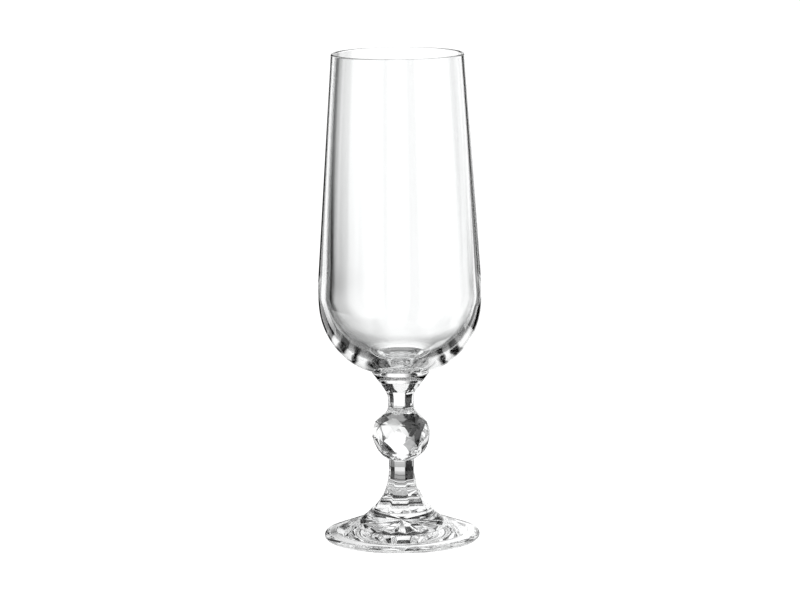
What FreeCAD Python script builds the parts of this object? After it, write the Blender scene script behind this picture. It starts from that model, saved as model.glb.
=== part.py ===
import FreeCAD, Part
import math
import os

import Sketcher

# Champagne flute on a short faceted stem.  Millimetres, +Z up, origin on the table under the
# middle of the foot.  Every piece is round or eight-sided about the Z axis, and each one meets
# its neighbour face to face where the glass is fused.

V = FreeCAD.Vector
SHEET = "sizes"

# Driving dimensions.  A _flat is the distance from the axis to the middle of a flat side.
SIZES = {
    # whole glass, bottom to top
    "foot_top_height": 10.8,
    "knop_base_height": 28.2,
    "knop_top_height": 47.8,
    "collar_base_height": 59.0,
    "bowl_base_height": 60.4,
    "total_height": 172.0,
    # bowl, outside
    "lip_round": 0.58,
    "lip_outer_radius": 23.35,
    "wall_end_radius": 28.56,
    "wall_end_height": 93.9,
    "belly_radius": 28.52,
    "belly_height": 83.25,
    "heel_radius": 16.5,
    "heel_height": 62.77,
    "bowl_base_radius": 9.8,
    # bowl, inside
    "lip_inner_radius": 22.2,
    "cup_wall_radius": 26.32,
    "cup_wall_height": 87.6,
    "cup_heel_radius": 14.98,
    "cup_heel_height": 67.05,
    "cup_floor_round": 29.1,
    "cup_floor_height": 62.9,
    # collar
    "collar_edge_round": 0.95,
    # upper stem
    "neck_flat": 4.5,
    "neck_radius": 5.0,
    "neck_end_height": 50.0,
    "flare_radius": 6.45,
    "flare_height": 54.4,
    "run_out_flat": 10.5,
    "run_out_height": 56.0,
    "capital_radius": 9.8,
    # knop
    "shoulder_flat": 6.14,
    "shoulder_height": 44.3,
    "girdle_flat": 9.02,
    "girdle_height": 41.9,
    "diamond_round": 11.3,
    "low_girdle_flat": 8.14,
    "low_girdle_height": 31.2,
    "waist_flat": 4.63,
    "waist_height": 28.74,
    "waist_round": 0.66,
    "equator_radius": 10.7,
    "equator_height": 37.5,
    "upper_triangle_flat": 5.0,
    "lower_triangle_flat": 6.05,
    # lower stem
    "shank_flat": 4.35,
    "shank_end_height": 25.0,
    "skirt_round": 21.4,
    "skirt_flat": 9.75,
    # foot
    "cone_start_radius": 10.6,
    "cone_round": 12.0,
    "slope_start_radius": 16.2,
    "slope_start_height": 6.25,
    "slope_end_radius": 26.6,
    "slope_end_height": 2.45,
    "edge_radius": 27.4,
    "edge_height": 1.3,
    "rest_outer_radius": 26.1,
    "rest_inner_radius": 24.9,
    "hollow_edge_radius": 22.5,
    "hollow_edge_height": 0.85,
    "hollow_height": 1.5,
    # star pressed into the hollow under the foot
    "ray_start_radius": 0.0,
    "ray_start_height": 3.4,
    "ray_start_half_width": 6.0,
    "ray_end_radius": 14.0,
    "ray_end_height": 3.0,
    "ray_end_half_width": 5.5,
    # faces and rays round the axis, and the round blanks that the flats are cut on
    "side_count": 8,
    "ray_count": 16,
    "knop_blank_radius": 12.0,
    "skirt_blank_radius": 16.0,
    "outside_radius": 20.0,
}


def make_sheet(doc):
    """One row per driving dimension: its name, its value, and an alias of that name."""
    sheet = doc.addObject("Spreadsheet::Sheet", SHEET)
    for row, (name, value) in enumerate(SIZES.items(), start=1):
        sheet.set(f"A{row}", name)
        sheet.set(f"B{row}", str(value))
        sheet.setAlias(f"B{row}", name)
    doc.recompute()
    return sheet


def bound(name):
    """Expression text for a sum of sheet names, such as 'total_height - lip_round'."""
    words = [f"{SHEET}.{word}" if word in SIZES else word for word in str(name).split()]
    return " ".join(words)


def value(name):
    """The number that an expression over the sheet gives."""
    words = [str(SIZES.get(word, word)) for word in str(name).split()]
    total, sign = 0.0, 1.0
    for word in words:
        if word in "+-":
            sign = -1.0 if word == "-" else 1.0
        else:
            total += sign * float(word)
    return total


# ---------------------------------------------------------------- sketches

def origin_feature(body, role):
    """One of the body's own origin planes or axes."""
    return next(item for item in body.Origin.OriginFeatures if item.Role == role)


def new_sketch(body, name, role="XZ_Plane", turn=0.0):
    """A sketch on one of the body's own planes, turned about the Z axis by turn degrees."""
    sketch = body.newObject("Sketcher::SketchObject", name)
    sketch.AttachmentSupport = [(origin_feature(body, role), "")]
    sketch.MapMode = "FlatFace"
    if turn:
        spin = FreeCAD.Rotation(V(0, 1, 0), turn)
        sketch.AttachmentOffset = FreeCAD.Placement(V(0, 0, 0), spin)
    return sketch


def bind_constraint(sketch, parts, name):
    """Add a constraint whose size is an expression over the sheet."""
    index = sketch.addConstraint(Sketcher.Constraint(*parts, value(name)))
    sketch.setExpression(f"Constraints[{index}]", bound(name))


def pin_point(sketch, edge, end, corner):
    """Hold one end of an edge at a corner given as two names from the sheet."""
    for kind, axis, name in (("DistanceX", -2, corner[0]), ("DistanceY", -1, corner[1])):
        if name == "0":
            sketch.addConstraint(Sketcher.Constraint("PointOnObject", edge, end, axis))
        else:
            bind_constraint(sketch, (kind, -1, 1, edge, end), name)


def smooth_centre(start, heading, end):
    """Centre of the arc that leaves start along heading and passes through end."""
    chord = end - start
    normal = V(-heading.y, heading.x, 0)
    return start + normal * (chord.dot(chord) / (2 * chord.dot(normal)))


def round_centre(start, end, radius):
    """Centre of the arc of this radius from start to end, to the right of the way along it."""
    chord = end - start
    reach = math.sqrt(radius * radius - chord.dot(chord) / 4)
    return (start + end) / 2 + V(chord.y, -chord.x, 0).normalize() * reach


def add_arc(sketch, start, end, centre, clockwise):
    """Add an arc.  Gives its number, its two ends in the order of the way, and its heading."""
    start_angle, end_angle = (math.atan2(p.y - centre.y, p.x - centre.x) for p in (start, end))
    circle = Part.Circle(centre, V(0, 0, 1), (start - centre).Length)
    spoke = (end - centre).normalize()
    if clockwise:
        edge = sketch.addGeometry(Part.ArcOfCircle(circle, end_angle, start_angle))
        return edge, (2, 1), V(spoke.y, -spoke.x, 0)
    edge = sketch.addGeometry(Part.ArcOfCircle(circle, start_angle, end_angle))
    return edge, (1, 2), V(-spoke.y, spoke.x, 0)


def add_step(sketch, kind, start, end, heading, radius):
    """Add one step of an outline.  Gives its number, its ends and the heading it leaves with."""
    if kind == "line":
        edge = sketch.addGeometry(Part.LineSegment(start, end))
        return edge, (1, 2), (end - start).normalize()
    if kind == "smooth":
        centre = smooth_centre(start, heading, end)
        clockwise = heading.cross(centre - start).z < 0
        return add_arc(sketch, start, end, centre, clockwise)
    if kind == "round":
        return add_arc(sketch, start, end, round_centre(start, end, radius), True)
    return add_arc(sketch, start, end, round_centre(end, start, radius), False)


def outline(sketch, start, steps):
    """A closed outline, drawn clockwise, so that the material is to the right of the way.

    A step is (kind, corner) or (kind, corner, radius name).  "line" is straight, and "smooth" is
    an arc that leaves the step before it without a corner.  "round" bulges outwards and "hollow"
    curves inwards, each with a radius of its own."""
    here = V(value(start[0]), value(start[1]), 0)
    heading = None
    joints = []
    for kind, corner, *radius in steps:
        there = V(value(corner[0]), value(corner[1]), 0)
        size = value(radius[0]) if radius else None
        edge, ends, heading = add_step(sketch, kind, here, there, heading, size)
        if joints:
            joint = "Tangent" if kind == "smooth" else "Coincident"
            sketch.addConstraint(Sketcher.Constraint(joint, *joints[-1], edge, ends[0]))
        else:
            first = (edge, ends[0])
        if radius:
            bind_constraint(sketch, ("Radius", edge), radius[0])
        pin_point(sketch, edge, ends[1], corner)
        joints.append((edge, ends[1]))
        here = there
    sketch.addConstraint(Sketcher.Constraint("Coincident", *joints[-1], *first))


# ---------------------------------------------------------------- features

def revolve(body, name, start, steps):
    """Turn a closed outline in the XZ plane right round the Z axis."""
    sketch = new_sketch(body, f"{name}_outline")
    outline(sketch, start, steps)
    turned = body.newObject("PartDesign::Revolution", name)
    turned.Profile = sketch
    turned.ReferenceAxis = (sketch, ["V_Axis"])
    turned.Angle = 360


def round_blank(body, name, radius, base, top):
    """A plain round blank, on which the flats are cut."""
    revolve(body, name, ("0", base), (
        ("line", ("0", top)),
        ("line", (radius, top)),
        ("line", (radius, base)),
        ("line", ("0", base)),
    ))


def repeat(body, cut, count):
    """Repeat a cut round the Z axis, count times in a full turn."""
    pattern = body.newObject("PartDesign::PolarPattern", f"{cut.Name}_all_round")
    pattern.Originals = [cut]
    pattern.Axis = (origin_feature(body, "Z_Axis"), [""])
    pattern.Angle = 360
    pattern.setExpression("Occurrences", bound(count))
    body.Tip = pattern


def cut_flats(body, name, start, steps, turn=0.0):
    """Cut one side of the blank along an outline in the XZ plane, then the other seven."""
    sketch = new_sketch(body, f"{name}_outline", turn=turn)
    outline(sketch, start, steps)
    cut = body.newObject("PartDesign::Pocket", name)
    cut.Profile = sketch
    cut.SideType = "Symmetric"
    cut.setExpression("Length", f"2 * {bound('outside_radius')}")
    repeat(body, cut, "side_count")


def ray_section(body, place):
    """Triangle across a ray of the star, standing on the table plane at the ray's start or end."""
    sketch = new_sketch(body, f"ray_{place}", role="YZ_Plane")
    sketch.setExpression("AttachmentOffset.Base.z", bound(f"ray_{place}_radius"))
    half_width = value(f"ray_{place}_half_width")
    height = value(f"ray_{place}_height")
    corners = (V(-half_width, 0, 0), V(0, height, 0), V(half_width, 0, 0))
    for edge, corner in enumerate(corners):
        sketch.addGeometry(Part.LineSegment(corner, corners[(edge + 1) % 3]))
    for edge in range(3):
        sketch.addConstraint(Sketcher.Constraint("Coincident", edge, 2, (edge + 1) % 3, 1))
    sketch.addConstraint(Sketcher.Constraint("PointOnObject", 0, 1, -1))
    sketch.addConstraint(Sketcher.Constraint("PointOnObject", 1, 1, -2))
    bind_constraint(sketch, ("DistanceY", -1, 1, 1, 1), f"ray_{place}_height")
    bind_constraint(sketch, ("DistanceX", -1, 1, 2, 1), f"ray_{place}_half_width")
    sketch.addConstraint(Sketcher.Constraint("Symmetric", 0, 1, 2, 1, -2))
    return sketch


# ---------------------------------------------------------------- pieces of glass

def make_bowl(body):
    """Tall cup.  The wall is straight down to the belly, and the base is smooth arcs."""
    lip_height = "total_height - lip_round"
    revolve(body, "cup", ("0", "bowl_base_height"), (
        ("line", ("0", "cup_floor_height")),
        ("hollow", ("cup_heel_radius", "cup_heel_height"), "cup_floor_round"),
        ("smooth", ("cup_wall_radius", "cup_wall_height")),
        ("smooth", ("lip_inner_radius", lip_height)),
        ("smooth", ("lip_outer_radius", lip_height)),
        ("line", ("wall_end_radius", "wall_end_height")),
        ("smooth", ("belly_radius", "belly_height")),
        ("smooth", ("heel_radius", "heel_height")),
        ("smooth", ("bowl_base_radius", "bowl_base_height")),
        ("line", ("0", "bowl_base_height")),
    ))


def make_collar(body):
    """Thin disc with a rounded edge, between the bowl and the stem."""
    revolve(body, "disc", ("0", "collar_base_height"), (
        ("line", ("0", "bowl_base_height")),
        ("line", ("bowl_base_radius", "bowl_base_height")),
        ("round", ("capital_radius", "collar_base_height"), "collar_edge_round"),
        ("line", ("0", "collar_base_height")),
    ))


def make_upper_stem(body):
    """Round trumpet with eight flats cut round its neck, which run out under the capital."""
    revolve(body, "trumpet", ("0", "knop_top_height"), (
        ("line", ("0", "collar_base_height")),
        ("line", ("capital_radius", "collar_base_height")),
        ("line", ("flare_radius", "flare_height")),
        ("smooth", ("neck_radius", "neck_end_height")),
        ("line", ("neck_radius", "knop_top_height")),
        ("line", ("0", "knop_top_height")),
    ))
    cut_flats(body, "neck_flats", ("neck_flat", "knop_top_height"), (
        ("line", ("neck_flat", "neck_end_height")),
        ("smooth", ("run_out_flat", "run_out_height")),
        ("line", ("outside_radius", "run_out_height")),
        ("line", ("outside_radius", "knop_top_height")),
        ("line", ("neck_flat", "knop_top_height")),
    ))


def make_knop(body):
    """Faceted ball: eight diamonds in line with the stem's flats, and triangles between them."""
    round_blank(body, "ball", "knop_blank_radius", "knop_base_height", "knop_top_height")
    cut_flats(body, "diamond", ("shank_flat", "knop_base_height"), (
        ("round", ("waist_flat", "waist_height"), "waist_round"),
        ("line", ("low_girdle_flat", "low_girdle_height")),
        ("hollow", ("girdle_flat", "girdle_height"), "diamond_round"),
        ("line", ("shoulder_flat", "shoulder_height")),
        ("smooth", ("neck_flat", "knop_top_height")),
        ("line", ("outside_radius", "knop_top_height")),
        ("line", ("outside_radius", "knop_base_height")),
        ("line", ("shank_flat", "knop_base_height")),
    ))
    half_side = 180 / SIZES["side_count"]
    cut_flats(body, "triangles", ("lower_triangle_flat", "knop_base_height"), (
        ("line", ("equator_radius", "equator_height")),
        ("line", ("upper_triangle_flat", "knop_top_height")),
        ("line", ("outside_radius", "knop_top_height")),
        ("line", ("outside_radius", "knop_base_height")),
        ("line", ("lower_triangle_flat", "knop_base_height")),
    ), turn=half_side)


def make_lower_stem(body):
    """Eight-sided stem, slightly waisted, whose flats sweep out to the foot."""
    round_blank(body, "shank", "skirt_blank_radius", "foot_top_height", "knop_base_height")
    cut_flats(body, "shank_flats", ("skirt_flat", "foot_top_height"), (
        ("round", ("shank_flat", "shank_end_height"), "skirt_round"),
        ("line", ("shank_flat", "knop_base_height")),
        ("line", ("outside_radius", "knop_base_height")),
        ("line", ("outside_radius", "foot_top_height")),
        ("line", ("skirt_flat", "foot_top_height")),
    ))


def make_foot(body):
    """Round disc with a hollow underside, and a star of radial rays pressed into the hollow."""
    revolve(body, "disc", ("0", "hollow_height"), (
        ("line", ("0", "foot_top_height")),
        ("line", ("cone_start_radius", "foot_top_height")),
        ("hollow", ("slope_start_radius", "slope_start_height"), "cone_round"),
        ("line", ("slope_end_radius", "slope_end_height")),
        ("smooth", ("edge_radius", "edge_height")),
        ("smooth", ("rest_outer_radius", "0")),
        ("line", ("rest_inner_radius", "0")),
        ("line", ("hollow_edge_radius", "hollow_edge_height")),
        ("line", ("0", "hollow_height")),
    ))
    ray = body.newObject("PartDesign::SubtractiveLoft", "ray")
    ray.Profile = ray_section(body, "start")
    ray.Sections = [ray_section(body, "end")]
    ray.Ruled = True
    repeat(body, ray, "ray_count")


PIECES = {
    "bowl": make_bowl,
    "collar": make_collar,
    "upper_stem": make_upper_stem,
    "knop": make_knop,
    "lower_stem": make_lower_stem,
    "foot": make_foot,
}


def check(doc, bodies):
    """Stop if a feature failed, or a piece isn't one valid solid."""
    for item in doc.Objects:
        if {"Invalid", "Error"} & set(item.State):
            raise RuntimeError(f"{item.Name} failed: {item.State}")
    for body in bodies:
        shape = body.Shape
        if shape.isNull() or not shape.isValid() or len(shape.Solids) != 1:
            raise RuntimeError(f"{body.Label} is not one valid solid")
        print(f"{body.Label}: {shape.Volume:.0f} cubic mm, {len(shape.Faces)} faces")


doc = FreeCAD.newDocument("champagne_flute")
make_sheet(doc)
bodies = []
for label, make_piece in PIECES.items():
    piece = doc.addObject("PartDesign::Body", label)
    piece.Label = label
    piece.Placement = FreeCAD.Placement(V(0, 0, 0), FreeCAD.Rotation())
    make_piece(piece)
    doc.recompute()
    bodies.append(piece)
check(doc, bodies)

os.makedirs("parts", exist_ok=True)
for piece in bodies:
    piece.Shape.exportStep(f"parts/{piece.Label}.step")
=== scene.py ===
import math

import bmesh
import bpy
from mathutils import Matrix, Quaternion, Vector


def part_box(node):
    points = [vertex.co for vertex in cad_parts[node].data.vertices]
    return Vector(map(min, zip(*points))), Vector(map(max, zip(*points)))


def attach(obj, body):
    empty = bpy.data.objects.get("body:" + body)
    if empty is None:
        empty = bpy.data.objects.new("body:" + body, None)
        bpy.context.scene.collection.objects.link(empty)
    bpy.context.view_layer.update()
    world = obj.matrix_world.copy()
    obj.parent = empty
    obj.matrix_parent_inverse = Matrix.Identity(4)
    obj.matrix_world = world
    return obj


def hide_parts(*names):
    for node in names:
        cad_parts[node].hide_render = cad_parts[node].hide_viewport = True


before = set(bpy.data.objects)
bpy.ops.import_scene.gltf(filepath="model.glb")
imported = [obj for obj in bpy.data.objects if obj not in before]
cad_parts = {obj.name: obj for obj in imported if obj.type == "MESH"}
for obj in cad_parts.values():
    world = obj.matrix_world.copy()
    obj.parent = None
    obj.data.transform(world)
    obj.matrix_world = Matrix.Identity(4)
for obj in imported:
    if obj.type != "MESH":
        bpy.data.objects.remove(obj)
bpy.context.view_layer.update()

# A champagne flute of clear glass in six fused pieces, on a white table in a studio of soft white
# light with black strips.  Every piece replaces its CAD node with a finer mesh of the same shape.
# Sizes of the glass are in millimetres, and are turned into metres where a mesh is made.

MM = 0.001


def height_of(node, top):
    """Height in millimetres of the top or the bottom of a CAD node."""
    low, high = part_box(node)
    return (high if top else low)[2] / MM


FOOT_TOP = height_of("foot", True)
KNOP_BASE = height_of("knop", False)
KNOP_TOP = height_of("knop", True)
COLLAR_BASE = height_of("collar", False)
BOWL_BASE = height_of("bowl", False)

# Sizes as in the CAD.  A point is (radius, height), and a _FLAT is the distance from the axis to
# the middle of a flat side.
FLATS = 8
SIDE = 2 * math.pi / FLATS

CUP_FLOOR_HEIGHT, CUP_FLOOR_ROUND = 62.9, 29.1
CUP_HEEL = (14.98, 67.05)
CUP_WALL = (26.32, 87.6)
LIP_HEIGHT = 171.42
LIP_INNER_RADIUS, LIP_OUTER_RADIUS = 22.2, 23.35
WALL_END = (28.56, 93.9)
BELLY = (28.52, 83.25)
HEEL = (16.5, 62.77)

CAPITAL_RADIUS = 9.8
COLLAR_EDGE_ROUND = 0.95

NECK_FLAT = 4.5
NECK_RADIUS, NECK_END = 5.0, 50.0
FLARE = (6.45, 54.4)
RUN_OUT_ROUND = 6.0

SHOULDER = (6.14, 44.3)
GIRDLE = (9.02, 41.9)
DIAMOND_ROUND = 11.3
LOW_GIRDLE = (8.14, 31.2)
WAIST, WAIST_ROUND = (4.63, 28.74), 0.66
EQUATOR_RADIUS, EQUATOR_HEIGHT = 10.7, 37.5
UPPER_TRIANGLE_FLAT, LOWER_TRIANGLE_FLAT = 5.0, 6.05

SHANK_FLAT, SHANK_END = 4.35, 25.0
SKIRT_FLAT, SKIRT_ROUND = 9.75, 21.4

CONE_START_RADIUS, CONE_ROUND = 10.6, 12.0
SLOPE_START = (16.2, 6.25)
SLOPE_END = (26.6, 2.45)
FOOT_EDGE, FOOT_EDGE_ROUND = (27.4, 1.3), 1.35
REST_OUTER_RADIUS, REST_INNER_RADIUS = 26.1, 24.9
HOLLOW_RADIUS, HOLLOW_EDGE_HEIGHT = 22.5, 0.85
HOLLOW_HEIGHT = 1.5

RAYS = 16
RAY_REACH = 14.0
RAY_START_RISE, RAY_END_RISE = 3.4, 3.0
RAY_START_WIDTH, RAY_END_WIDTH = 6.0, 5.5

# How far the edges between flats are rounded off.
EDGE_SOFTNESS = 0.28
RUN_OUT_SOFTNESS = 0.1
KNOP_SOFTNESS = 0.08
RAY_SOFTNESS = 0.12


# ---------------------------------------------------------------- outlines

def trace(start, steps, gap):
    """Points of an outline in (radius, height), about gap apart.

    A step is (kind, corner) or (kind, corner, radius), drawn clockwise with the glass to the
    right.  "line" is straight, "smooth" is an arc that leaves the step before it without a
    corner, "round" bulges outwards and "hollow" curves inwards."""
    points = [Vector(start)]
    heading = None
    for kind, corner, *radius in steps:
        here, there = points[-1], Vector(corner)
        chord = there - here
        if kind == "line":
            heading = chord.normalized()
            count = max(1, round(chord.length / gap))
            points += [here + chord * (i / count) for i in range(1, count + 1)]
            continue
        if kind == "smooth":
            normal = Vector((-heading.y, heading.x))
            centre = here + normal * (chord.length_squared / (2 * chord.dot(normal)))
            clockwise = heading.x * (centre - here).y - heading.y * (centre - here).x < 0
        else:
            clockwise = kind == "round"
            aside = Vector((chord.y, -chord.x)).normalized() * (1 if clockwise else -1)
            centre = here + chord / 2 + aside * math.sqrt(radius[0] ** 2 - chord.length_squared / 4)
        spoke = here - centre
        angle = math.atan2(spoke.y, spoke.x)
        turn = math.atan2((there - centre).y, (there - centre).x) - angle
        turn = turn % (2 * math.pi) - (2 * math.pi if clockwise else 0)
        count = max(2, round(abs(turn) * spoke.length / gap), round(abs(turn) / math.radians(5)))
        for i in range(1, count + 1):
            along = angle + turn * i / count
            points.append(centre + Vector((math.cos(along), math.sin(along))) * spoke.length)
        side = -1 if clockwise else 1
        heading = Vector((-math.sin(angle + turn), math.cos(angle + turn))) * side
    return points


def soft_min(first, second, softness):
    """The smaller of two values, with the corner between them rounded off."""
    overlap = max(softness - abs(first - second), 0.0) / softness
    return min(first, second) - overlap * overlap * softness / 4


def soft_max(first, second, softness):
    """The larger of two values, with the corner between them rounded off."""
    return -soft_min(-first, -second, softness)


def octagon(flat, angle, softness=EDGE_SOFTNESS):
    """Radius at an angle of an octagon whose sides are flat away from the axis."""
    off = (angle + SIDE / 2) % SIDE - SIDE / 2
    return soft_min(flat / math.cos(off), flat / math.cos(SIDE - abs(off)), softness)


def crowded_angles(sectors, count):
    """Angles round the axis, crowded together at the borders between the sectors."""
    width = 2 * math.pi / sectors
    shares = [0.5 - 0.5 * math.cos(math.pi * i / count) for i in range(count)]
    return [width * (sector + share) for sector in range(sectors) for share in shares]


# ---------------------------------------------------------------- meshes

# Material slots of a piece, then a radius in millimetres that is small enough to be on the axis,
# and a distance in metres below which two points are one.
GLASS, FUSED = 0, 1
ON_AXIS = 1e-6
SAME_PLACE = 1e-7


def add_piece(name, mesh):
    """An object from a closed mesh, with sharp edges round its fused faces."""
    bmesh.ops.recalc_face_normals(mesh, faces=mesh.faces)
    for edge in mesh.edges:
        edge.smooth = len({face.material_index for face in edge.link_faces}) == 1
    data = bpy.data.meshes.new(name)
    mesh.to_mesh(data)
    mesh.free()
    piece = bpy.data.objects.new(name, data)
    bpy.context.scene.collection.objects.link(piece)
    return piece


def skin(name, rings, angles, fused_rows):
    """Closed mesh over rings of (radius, height) from one point on the axis to another.

    rings holds one function of the angle for each ring.  The rows in fused_rows lie against the
    next piece of glass, and get the material slot that doesn't bend light."""
    mesh = bmesh.new()
    made = []
    for ring in rings:
        places = [ring(angle) for angle in angles]
        if max(radius for radius, _ in places) < ON_AXIS:
            made.append([mesh.verts.new((0, 0, places[0][1] * MM))])
            continue
        made.append([
            mesh.verts.new((radius * math.cos(a) * MM, radius * math.sin(a) * MM, height * MM))
            for a, (radius, height) in zip(angles, places)
        ])
    for row, (lower, upper) in enumerate(zip(made, made[1:])):
        for i in range(len(angles)):
            j = (i + 1) % len(angles)
            corners = [lower[k % len(lower)] for k in (i, j)]
            corners += [upper[k % len(upper)] for k in (j, i)]
            face = mesh.faces.new(list(dict.fromkeys(corners)))
            face.smooth = True
            face.material_index = FUSED if row in fused_rows else GLASS
    return add_piece(name, mesh)


def turned(name, points, fused_rows, segments=256):
    """A piece turned about the axis from one outline."""
    angles = [2 * math.pi * i / segments for i in range(segments)]
    rings = [lambda angle, p=p: (p.x, p.y) for p in points]
    return skin(name, rings, angles, fused_rows)


def make_bowl():
    """Tall cup, from the middle of its floor up the inside, over the lip and down the outside."""
    points = trace((0, CUP_FLOOR_HEIGHT), (
        ("hollow", CUP_HEEL, CUP_FLOOR_ROUND),
        ("smooth", CUP_WALL),
        ("smooth", (LIP_INNER_RADIUS, LIP_HEIGHT)),
        ("smooth", (LIP_OUTER_RADIUS, LIP_HEIGHT)),
        ("line", WALL_END),
        ("smooth", BELLY),
        ("smooth", HEEL),
        ("smooth", (CAPITAL_RADIUS, BOWL_BASE)),
    ), gap=0.9)
    points.append(Vector((0, BOWL_BASE)))
    return turned("bowl_glass", points, {len(points) - 2})


def make_collar():
    """Thin disc with a rounded edge."""
    edge = ("round", (CAPITAL_RADIUS, COLLAR_BASE), COLLAR_EDGE_ROUND)
    points = [Vector((0, BOWL_BASE))]
    points += trace((CAPITAL_RADIUS, BOWL_BASE), (edge,), gap=0.1)
    points.append(Vector((0, COLLAR_BASE)))
    return turned("collar_glass", points, {0, len(points) - 2})


def make_stem(name, rings, bottom, top):
    """An eight-sided stem between two flat ends."""
    rings = [lambda angle: (0, bottom)] + rings + [lambda angle: (0, top)]
    return skin(name, rings, crowded_angles(FLATS, 24), {0, len(rings) - 2})


def make_upper_stem():
    """Round trumpet with eight flats round its neck, which run out under the capital."""
    def ring(point):
        rise = min(max(point.y - NECK_END, 0.0), RUN_OUT_ROUND)
        flat = NECK_FLAT + RUN_OUT_ROUND - math.sqrt(RUN_OUT_ROUND ** 2 - rise ** 2)
        return lambda angle: (soft_min(point.x, octagon(flat, angle), RUN_OUT_SOFTNESS), point.y)
    points = trace((NECK_RADIUS, KNOP_TOP), (
        ("line", (NECK_RADIUS, NECK_END)),
        ("smooth", FLARE),
        ("line", (CAPITAL_RADIUS, COLLAR_BASE)),
    ), gap=0.12)
    return make_stem("upper_stem_glass", [ring(point) for point in points], KNOP_TOP, COLLAR_BASE)


def make_lower_stem():
    """Eight-sided shank whose flats sweep out to the foot."""
    def ring(point):
        return lambda angle: (octagon(point.x, angle), point.y)
    points = trace((SKIRT_FLAT, FOOT_TOP), (
        ("round", (SHANK_FLAT, SHANK_END), SKIRT_ROUND),
        ("line", (SHANK_FLAT, KNOP_BASE)),
    ), gap=0.2)
    return make_stem("lower_stem_glass", [ring(point) for point in points], FOOT_TOP, KNOP_BASE)


UPPER_LEAN = (EQUATOR_RADIUS - UPPER_TRIANGLE_FLAT) / (KNOP_TOP - EQUATOR_HEIGHT)
LOWER_LEAN = (EQUATOR_RADIUS - LOWER_TRIANGLE_FLAT) / (EQUATOR_HEIGHT - KNOP_BASE)

# A rounded corner of the knop takes up less than half of the side on either hand.
CORNER_SHARE = 0.45
CORNER_STEPS = 4


def round_corner(before, here, after):
    """Points round a corner of the knop's section, on a smooth curve that cuts it off."""
    back, ahead = before - here, after - here
    cut = min(KNOP_SOFTNESS, CORNER_SHARE * back.length, CORNER_SHARE * ahead.length)
    start = here + back.normalized() * cut
    end = here + ahead.normalized() * cut
    shares = [step / CORNER_STEPS for step in range(CORNER_STEPS + 1)]
    return [start * (1 - t) ** 2 + here * (2 * t * (1 - t)) + end * t * t for t in shares]


def knop_section(diamond, triangle, height):
    """Points round the knop at one height: a sixteen-sided ring with its corners rounded off.

    The flats lie diamond and triangle away from the axis in turn."""
    half = SIDE / 2
    reach = (triangle - diamond * math.cos(half)) / math.sin(half)
    reach = max(0.0, min(reach, diamond * math.tan(half)))
    corner = math.atan2(reach, diamond)
    radius = math.hypot(diamond, reach)
    corners = []
    for flat in range(FLATS):
        for angle in (flat * SIDE - corner, flat * SIDE + corner):
            corners.append(Vector((math.cos(angle), math.sin(angle))) * radius)
    ring = []
    for i, here in enumerate(corners):
        after = corners[(i + 1) % len(corners)]
        ring += round_corner(corners[i - 1], here, after)
        side = after - here
        last = after - side.normalized() * min(KNOP_SOFTNESS, CORNER_SHARE * side.length)
        end = ring[-1]
        ring += [end.lerp(last, share) for share in (1 / 3, 2 / 3)]
    return [Vector((p.x, p.y, height)) * MM for p in ring]


def make_knop():
    """Faceted ball: eight diamonds, and triangles that lean in from its widest ring."""
    points = trace((SHANK_FLAT, KNOP_BASE), (
        ("round", WAIST, WAIST_ROUND),
        ("line", LOW_GIRDLE),
        ("hollow", GIRDLE, DIAMOND_ROUND),
        ("line", SHOULDER),
        ("smooth", (NECK_FLAT, KNOP_TOP)),
    ), gap=0.16)
    mesh = bmesh.new()
    rows = []
    for point in points:
        lean = UPPER_LEAN if point.y > EQUATOR_HEIGHT else LOWER_LEAN
        triangle = EQUATOR_RADIUS - abs(point.y - EQUATOR_HEIGHT) * lean
        rows.append([mesh.verts.new(p) for p in knop_section(point.x, triangle, point.y)])
    for lower, upper in zip(rows, rows[1:]):
        for i in range(len(lower)):
            j = (i + 1) % len(lower)
            mesh.faces.new((lower[i], lower[j], upper[j], upper[i])).smooth = True
    for row in (rows[0], rows[-1]):
        cap = mesh.faces.new(row)
        cap.material_index = FUSED
    bmesh.ops.remove_doubles(mesh, verts=mesh.verts, dist=SAME_PLACE)
    bmesh.ops.dissolve_degenerate(mesh, edges=mesh.edges, dist=SAME_PLACE)
    return add_piece("knop_glass", mesh)


RAY_END_SLOPE = 0.8
UNDER_STEP = 0.3


def hollow_height(radius):
    """Height of the hollow under the foot, without the star."""
    if radius > HOLLOW_RADIUS:
        share = (REST_INNER_RADIUS - radius) / (REST_INNER_RADIUS - HOLLOW_RADIUS)
        return HOLLOW_EDGE_HEIGHT * share
    return HOLLOW_HEIGHT + (HOLLOW_EDGE_HEIGHT - HOLLOW_HEIGHT) * radius / HOLLOW_RADIUS


def under_ring(radius):
    """One ring under the foot: the hollow, with the rays of the star rising out of it."""
    hollow = hollow_height(radius)
    share = radius / RAY_REACH
    apex = RAY_START_RISE + (RAY_END_RISE - RAY_START_RISE) * share
    width = RAY_START_WIDTH + (RAY_END_WIDTH - RAY_START_WIDTH) * share
    inside = RAY_REACH + RAY_END_SLOPE / 2 - radius

    def ring(angle):
        if inside < 0:
            return radius, hollow
        spread = 2 * math.pi / RAYS
        off = (angle + spread / 2) % spread - spread / 2
        rise = apex * (1 - abs(radius * math.sin(off)) / width)
        fade = min(1.0, inside / RAY_END_SLOPE)
        return radius, soft_max(hollow, hollow + (rise - hollow) * fade, RAY_SOFTNESS)
    return ring


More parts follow.
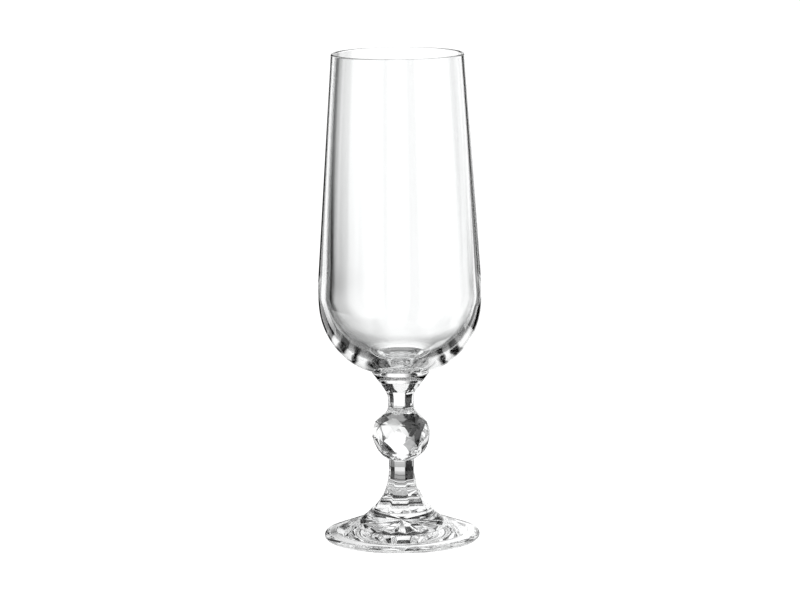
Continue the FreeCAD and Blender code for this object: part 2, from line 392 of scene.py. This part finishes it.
def make_foot():
    """Round disc with a sloping top, and a hollow with a pressed star underneath."""
    top = trace((CONE_START_RADIUS, FOOT_TOP), (
        ("hollow", SLOPE_START, CONE_ROUND),
        ("line", SLOPE_END),
    ), gap=0.22)
    edge = trace(SLOPE_END, (
        ("round", FOOT_EDGE, FOOT_EDGE_ROUND),
        ("smooth", (REST_OUTER_RADIUS, 0)),
        ("line", (REST_INNER_RADIUS, 0)),
    ), gap=0.15)
    rings = [lambda angle: (0, FOOT_TOP), lambda angle: (octagon(SKIRT_FLAT, angle), FOOT_TOP)]
    rings += [lambda angle, p=p: (p.x, p.y) for p in top + edge[1:]]
    steps = round(REST_INNER_RADIUS / UNDER_STEP)
    rings += [under_ring(REST_INNER_RADIUS - UNDER_STEP * i) for i in range(1, steps)]
    rings.append(lambda angle: (0, under_ring(UNDER_STEP)(0)[1]))
    return skin("foot_glass", rings, crowded_angles(2 * RAYS, 8), {0})


# ---------------------------------------------------------------- materials

def glass(name, tint, ripple_scale, ripple_depth):
    """Clear glass with the faint ripples that pressing and fire-polishing leave."""
    material = bpy.data.materials.new(name)
    material.use_nodes = True
    nodes, links = material.node_tree.nodes, material.node_tree.links
    shader = nodes["Principled BSDF"]
    shader.inputs["Base Color"].default_value = (*tint, 1)
    shader.inputs["IOR"].default_value = 1.52
    shader.inputs["Transmission Weight"].default_value = 1.0
    shader.inputs["Roughness"].default_value = 0.0
    place = nodes.new("ShaderNodeTexCoord")
    ripple = nodes.new("ShaderNodeTexNoise")
    ripple.inputs["Scale"].default_value = ripple_scale
    ripple.inputs["Detail"].default_value = 1.5
    links.new(place.outputs["Object"], ripple.inputs["Vector"])
    bump = nodes.new("ShaderNodeBump")
    bump.inputs["Distance"].default_value = ripple_depth
    bump.inputs["Strength"].default_value = 1.0
    links.new(ripple.outputs["Fac"], bump.inputs["Height"])
    links.new(bump.outputs["Normal"], shader.inputs["Normal"])
    return material


def fused_glass():
    """The unseen face between two fused pieces, which lets light straight through."""
    material = bpy.data.materials.new("fused_joint")
    material.use_nodes = True
    shader = material.node_tree.nodes["Principled BSDF"]
    shader.inputs["Base Color"].default_value = (1, 1, 1, 1)
    shader.inputs["Alpha"].default_value = 0.0
    return material


def finish_piece(piece, node, materials):
    """Give a piece its glass and even shading, and put it in place of its CAD node."""
    for material in materials:
        piece.data.materials.append(material)
    weighted = piece.modifiers.new("even_shading", "WEIGHTED_NORMAL")
    weighted.keep_sharp = True
    weighted.weight = 100
    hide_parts(node)
    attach(piece, "root")


fused = fused_glass()
bowl_glass = glass("bowl_glass", (0.985, 0.99, 0.99), ripple_scale=60.0, ripple_depth=0.00002)
stem_glass = glass("stem_glass", (0.98, 0.985, 0.985), ripple_scale=140.0, ripple_depth=0.00001)
finish_piece(make_bowl(), "bowl", (bowl_glass, fused))
finish_piece(make_collar(), "collar", (stem_glass, fused))
finish_piece(make_upper_stem(), "upper_stem", (stem_glass, fused))
finish_piece(make_knop(), "knop", (stem_glass, fused))
finish_piece(make_lower_stem(), "lower_stem", (stem_glass, fused))
finish_piece(make_foot(), "foot", (stem_glass, fused))


# ---------------------------------------------------------------- studio

WHITE = 1.17


def emission(name, strength=1.0):
    """A white glowing material, with its shader."""
    material = bpy.data.materials.new(name)
    material.use_nodes = True
    nodes, links = material.node_tree.nodes, material.node_tree.links
    nodes.clear()
    glow = nodes.new("ShaderNodeEmission")
    glow.inputs["Color"].default_value = (1, 1, 1, 1)
    glow.inputs["Strength"].default_value = strength
    out = nodes.new("ShaderNodeOutputMaterial")
    links.new(glow.outputs["Emission"], out.inputs["Surface"])
    return material, glow


# The studio's sizes are in metres.  The cards on the floor lie just under the glass, and the table
# just under them.
TABLE_HEIGHT = -0.00002
TABLE_REACH = 6.0


def make_table():
    """Wide white table, which looks the same as the background."""
    data = bpy.data.meshes.new("white_table")
    sides = ((-1, -1), (1, -1), (1, 1), (-1, 1))
    corners = [(x * TABLE_REACH, y * TABLE_REACH, TABLE_HEIGHT) for x, y in sides]
    data.from_pydata(corners, [], [(0, 1, 2, 3)])
    table = bpy.data.objects.new("white_table", data)
    bpy.context.scene.collection.objects.link(table)
    data.materials.append(emission("white_table", WHITE)[0])


FLOOR_HEIGHT = -0.00001
UNDER_RADIUS = 0.040
NEAR_RADIUS = 0.125
CARD_RADIUS = 0.26
WALL_HEIGHT = 0.4
TOP_RADIUS, TOP_HEIGHT = 0.2, 0.6

# Light of the cards.  WINDOWS say how much of a card's brightness shows at a bearing from the
# glass, in degrees, 0 behind it and 90 to its right.  The wall and the far floor have a window at
# every 45 degrees: the ones at -135 and -90 run together, and the one at 0 is shaped to match the
# photo.  BRIGHT is the brightness by the distance from the point under the middle of the foot.
# Between windows a card is nearly black.
NEARLY_BLACK = 0.004
DOME = 0.03
LEFT_WINDOWS = (
    (-180, 1), (-171, 1), (-167, 0), (-149, 0), (-145, 1), (-81, 1), (-77, 0), (-57, 0),
    (-53, 1), (-37, 1), (-34, 0),
)
RIGHT_WINDOWS = (
    (34, 0), (37, 1), (53, 1), (57, 0), (77, 0), (81, 1), (99, 1), (103, 0),
    (121, 0), (125, 1), (145, 1), (149, 0), (167, 0), (171, 1), (180, 1),
)
WALL_WINDOWS = LEFT_WINDOWS + ((-22, 0), (-10, 1), (14, 1), (22, 0)) + RIGHT_WINDOWS
FLOOR_WINDOWS = LEFT_WINDOWS + ((-28, 0), (-8, 1), (16, 1), (26, 0)) + RIGHT_WINDOWS
NEAR_WINDOWS = (
    (-180, 0.1), (-150, 0.1), (-140, 0.6), (-105, 0.6), (-100, 1), (-80, 1), (-72, 0), (-13, 0),
    (-9, 1), (16, 1), (20, 0), (60, 0), (66, 1), (80, 1), (84, 0.2), (120, 0.2), (126, 1),
    (145, 1), (155, 0.1), (180, 0.1),
)
NEAR_BRIGHT = (
    (0, 0.25), (0.045, 0.25), (0.046, 0.08), (0.049, 0.08), (0.05, 0.32), (0.064, 0.32),
    (0.065, 0.12), (0.068, 0.12), (0.07, 0.4), (0.09, 0.6), (0.1, 0.9), (0.125, 0.9),
)
FLOOR_BRIGHT = ((0, 0.5), (0.13, 0.5), (0.18, 1.1), (CARD_RADIUS, WHITE))
WALL_BRIGHT = ((0, WHITE), (0.48, WHITE))
UNDER_BRIGHT = (
    (0, 0.45), (0.009, 0.45), (0.0095, 0.02), (0.0125, 0.02), (0.013, 0.9), (0.0165, 0.9),
    (0.017, 0.02), (0.0195, 0.02), (0.02, 1.1), (0.028, 1.1), (0.0285, 0.02), (0.031, 0.02),
    (0.0315, 0.5), (0.034, 0.5), (0.035, 0.02), (0.037, 0.02), (0.0375, 1.0), (0.04, 1.0),
)


def add_ramp(material, value, stops, low, high):
    """A grey ramp over a value that runs from low to high."""
    nodes, links = material.node_tree.nodes, material.node_tree.links
    share = nodes.new("ShaderNodeMapRange")
    share.inputs["From Min"].default_value = low
    share.inputs["From Max"].default_value = high
    links.new(value, share.inputs["Value"])
    ramp = nodes.new("ShaderNodeValToRGB")
    links.new(share.outputs["Result"], ramp.inputs["Fac"])
    for _ in stops[2:]:
        ramp.color_ramp.elements.new(0.5)
    for element, (at, level) in zip(ramp.color_ramp.elements, stops):
        element.position = (at - stops[0][0]) / (stops[-1][0] - stops[0][0])
        element.color = (level, level, level, 1)
    return ramp.outputs["Color"]


def card_material(name, bright, windows=None):
    """Light by distance from the middle, all round or only in the windows."""
    material, glow = emission(name)
    nodes, links = material.node_tree.nodes, material.node_tree.links
    place = nodes.new("ShaderNodeTexCoord")
    away = nodes.new("ShaderNodeVectorMath")
    away.operation = "LENGTH"
    links.new(place.outputs["Object"], away.inputs[0])
    light = add_ramp(material, away.outputs["Value"], bright, 0.0, bright[-1][0])
    if not windows:
        links.new(light, glow.inputs["Color"])
        return material
    split = nodes.new("ShaderNodeSeparateXYZ")
    links.new(place.outputs["Object"], split.inputs["Vector"])
    bearing = nodes.new("ShaderNodeMath")
    bearing.operation = "ARCTAN2"
    links.new(split.outputs["X"], bearing.inputs[0])
    links.new(split.outputs["Y"], bearing.inputs[1])
    share = add_ramp(material, bearing.outputs["Value"], windows, -math.pi, math.pi)
    mix = nodes.new("ShaderNodeMix")
    mix.data_type = "RGBA"
    links.new(share, mix.inputs["Factor"])
    mix.inputs["A"].default_value = (NEARLY_BLACK, NEARLY_BLACK, NEARLY_BLACK, 1)
    links.new(light, mix.inputs["B"])
    links.new(mix.outputs["Result"], glow.inputs["Color"])
    return material


def add_card(name, points, faces, material):
    """A card that only the glass shows: neither the camera nor the table sees it."""
    data = bpy.data.meshes.new(name)
    data.from_pydata(points, [], faces)
    data.materials.append(material)
    card = bpy.data.objects.new(name, data)
    bpy.context.scene.collection.objects.link(card)
    card.visible_camera = False
    card.visible_diffuse = False
    card.visible_shadow = False


CARD_SIDES = 180


def circle(radius, height):
    """Points round the axis."""
    angles = [2 * math.pi * i / CARD_SIDES for i in range(CARD_SIDES)]
    return [(radius * math.sin(a), radius * math.cos(a), height) for a in angles]


def add_disc(name, radius, height, material):
    """A round card."""
    add_card(name, circle(radius, height), [tuple(range(CARD_SIDES))], material)


def add_band(name, first, second, material):
    """A card between two circles, each given as (radius, height)."""
    faces = []
    for i in range(CARD_SIDES):
        j = (i + 1) % CARD_SIDES
        faces.append((i, j, j + CARD_SIDES, i + CARD_SIDES))
    add_card(name, circle(*first) + circle(*second), faces, material)


def make_cards():
    """Black and white cards round, under and over the glass."""
    under, near, far = ((r, FLOOR_HEIGHT) for r in (UNDER_RADIUS, NEAR_RADIUS, CARD_RADIUS))
    add_band("near_card", under, near, card_material("near_card", NEAR_BRIGHT, NEAR_WINDOWS))
    add_band("floor_card", near, far, card_material("floor_card", FLOOR_BRIGHT, FLOOR_WINDOWS))
    wall_top = (CARD_RADIUS, WALL_HEIGHT)
    add_band("wall_card", far, wall_top, card_material("wall_card", WALL_BRIGHT, WALL_WINDOWS))
    add_disc("under_card", *under, card_material("under_card", UNDER_BRIGHT))
    add_disc("overhead_card", TOP_RADIUS, TOP_HEIGHT, emission("overhead_card")[0])


def make_world():
    """White background, and hardly any light where a ray from the glass misses every card."""
    world = bpy.data.worlds.new("studio")
    bpy.context.scene.world = world
    world.use_nodes = True
    nodes, links = world.node_tree.nodes, world.node_tree.links
    back = nodes["Background"]
    back.inputs["Color"].default_value = (1, 1, 1, 1)
    path = nodes.new("ShaderNodeLightPath")
    strength = nodes.new("ShaderNodeMapRange")
    strength.inputs["To Min"].default_value = DOME
    strength.inputs["To Max"].default_value = WHITE
    links.new(path.outputs["Is Camera Ray"], strength.inputs["Value"])
    links.new(strength.outputs["Result"], back.inputs["Strength"])


# Camera: angles in degrees, distances in metres, and the lens in millimetres.
CAMERA_AZIMUTH = 5.5
CAMERA_ROLL = -0.54
CAMERA_AWAY, CAMERA_HEIGHT = 1.3519, 0.3022
AIM_HEIGHT = 0.08512
SENSOR_WIDTH, LENS = 36, 175.5
SIGHT_LIMIT = 50


def make_camera():
    """Long lens from a little above and to the right of the glass's front, as in the photo."""
    camera = bpy.data.objects.new("camera", bpy.data.cameras.new("camera"))
    bpy.context.scene.collection.objects.link(camera)
    azimuth = math.radians(CAMERA_AZIMUTH)
    x, y = CAMERA_AWAY * math.sin(azimuth), -CAMERA_AWAY * math.cos(azimuth)
    camera.location = (x, y, CAMERA_HEIGHT)
    look = Vector((0, 0, AIM_HEIGHT)) - camera.location
    roll = Quaternion((0, 0, 1), math.radians(CAMERA_ROLL))
    camera.rotation_euler = (look.to_track_quat("-Z", "Y") @ roll).to_euler()
    camera.data.sensor_width = SENSOR_WIDTH
    camera.data.lens = LENS
    camera.data.clip_end = SIGHT_LIMIT
    bpy.context.scene.camera = camera


make_table()
make_cards()
make_world()
make_camera()

scene = bpy.context.scene
scene.view_settings.view_transform = "Standard"
scene.cycles.max_bounces = 32
scene.cycles.transmission_bounces = 32
scene.cycles.glossy_bounces = 16
scene.cycles.transparent_max_bounces = 32
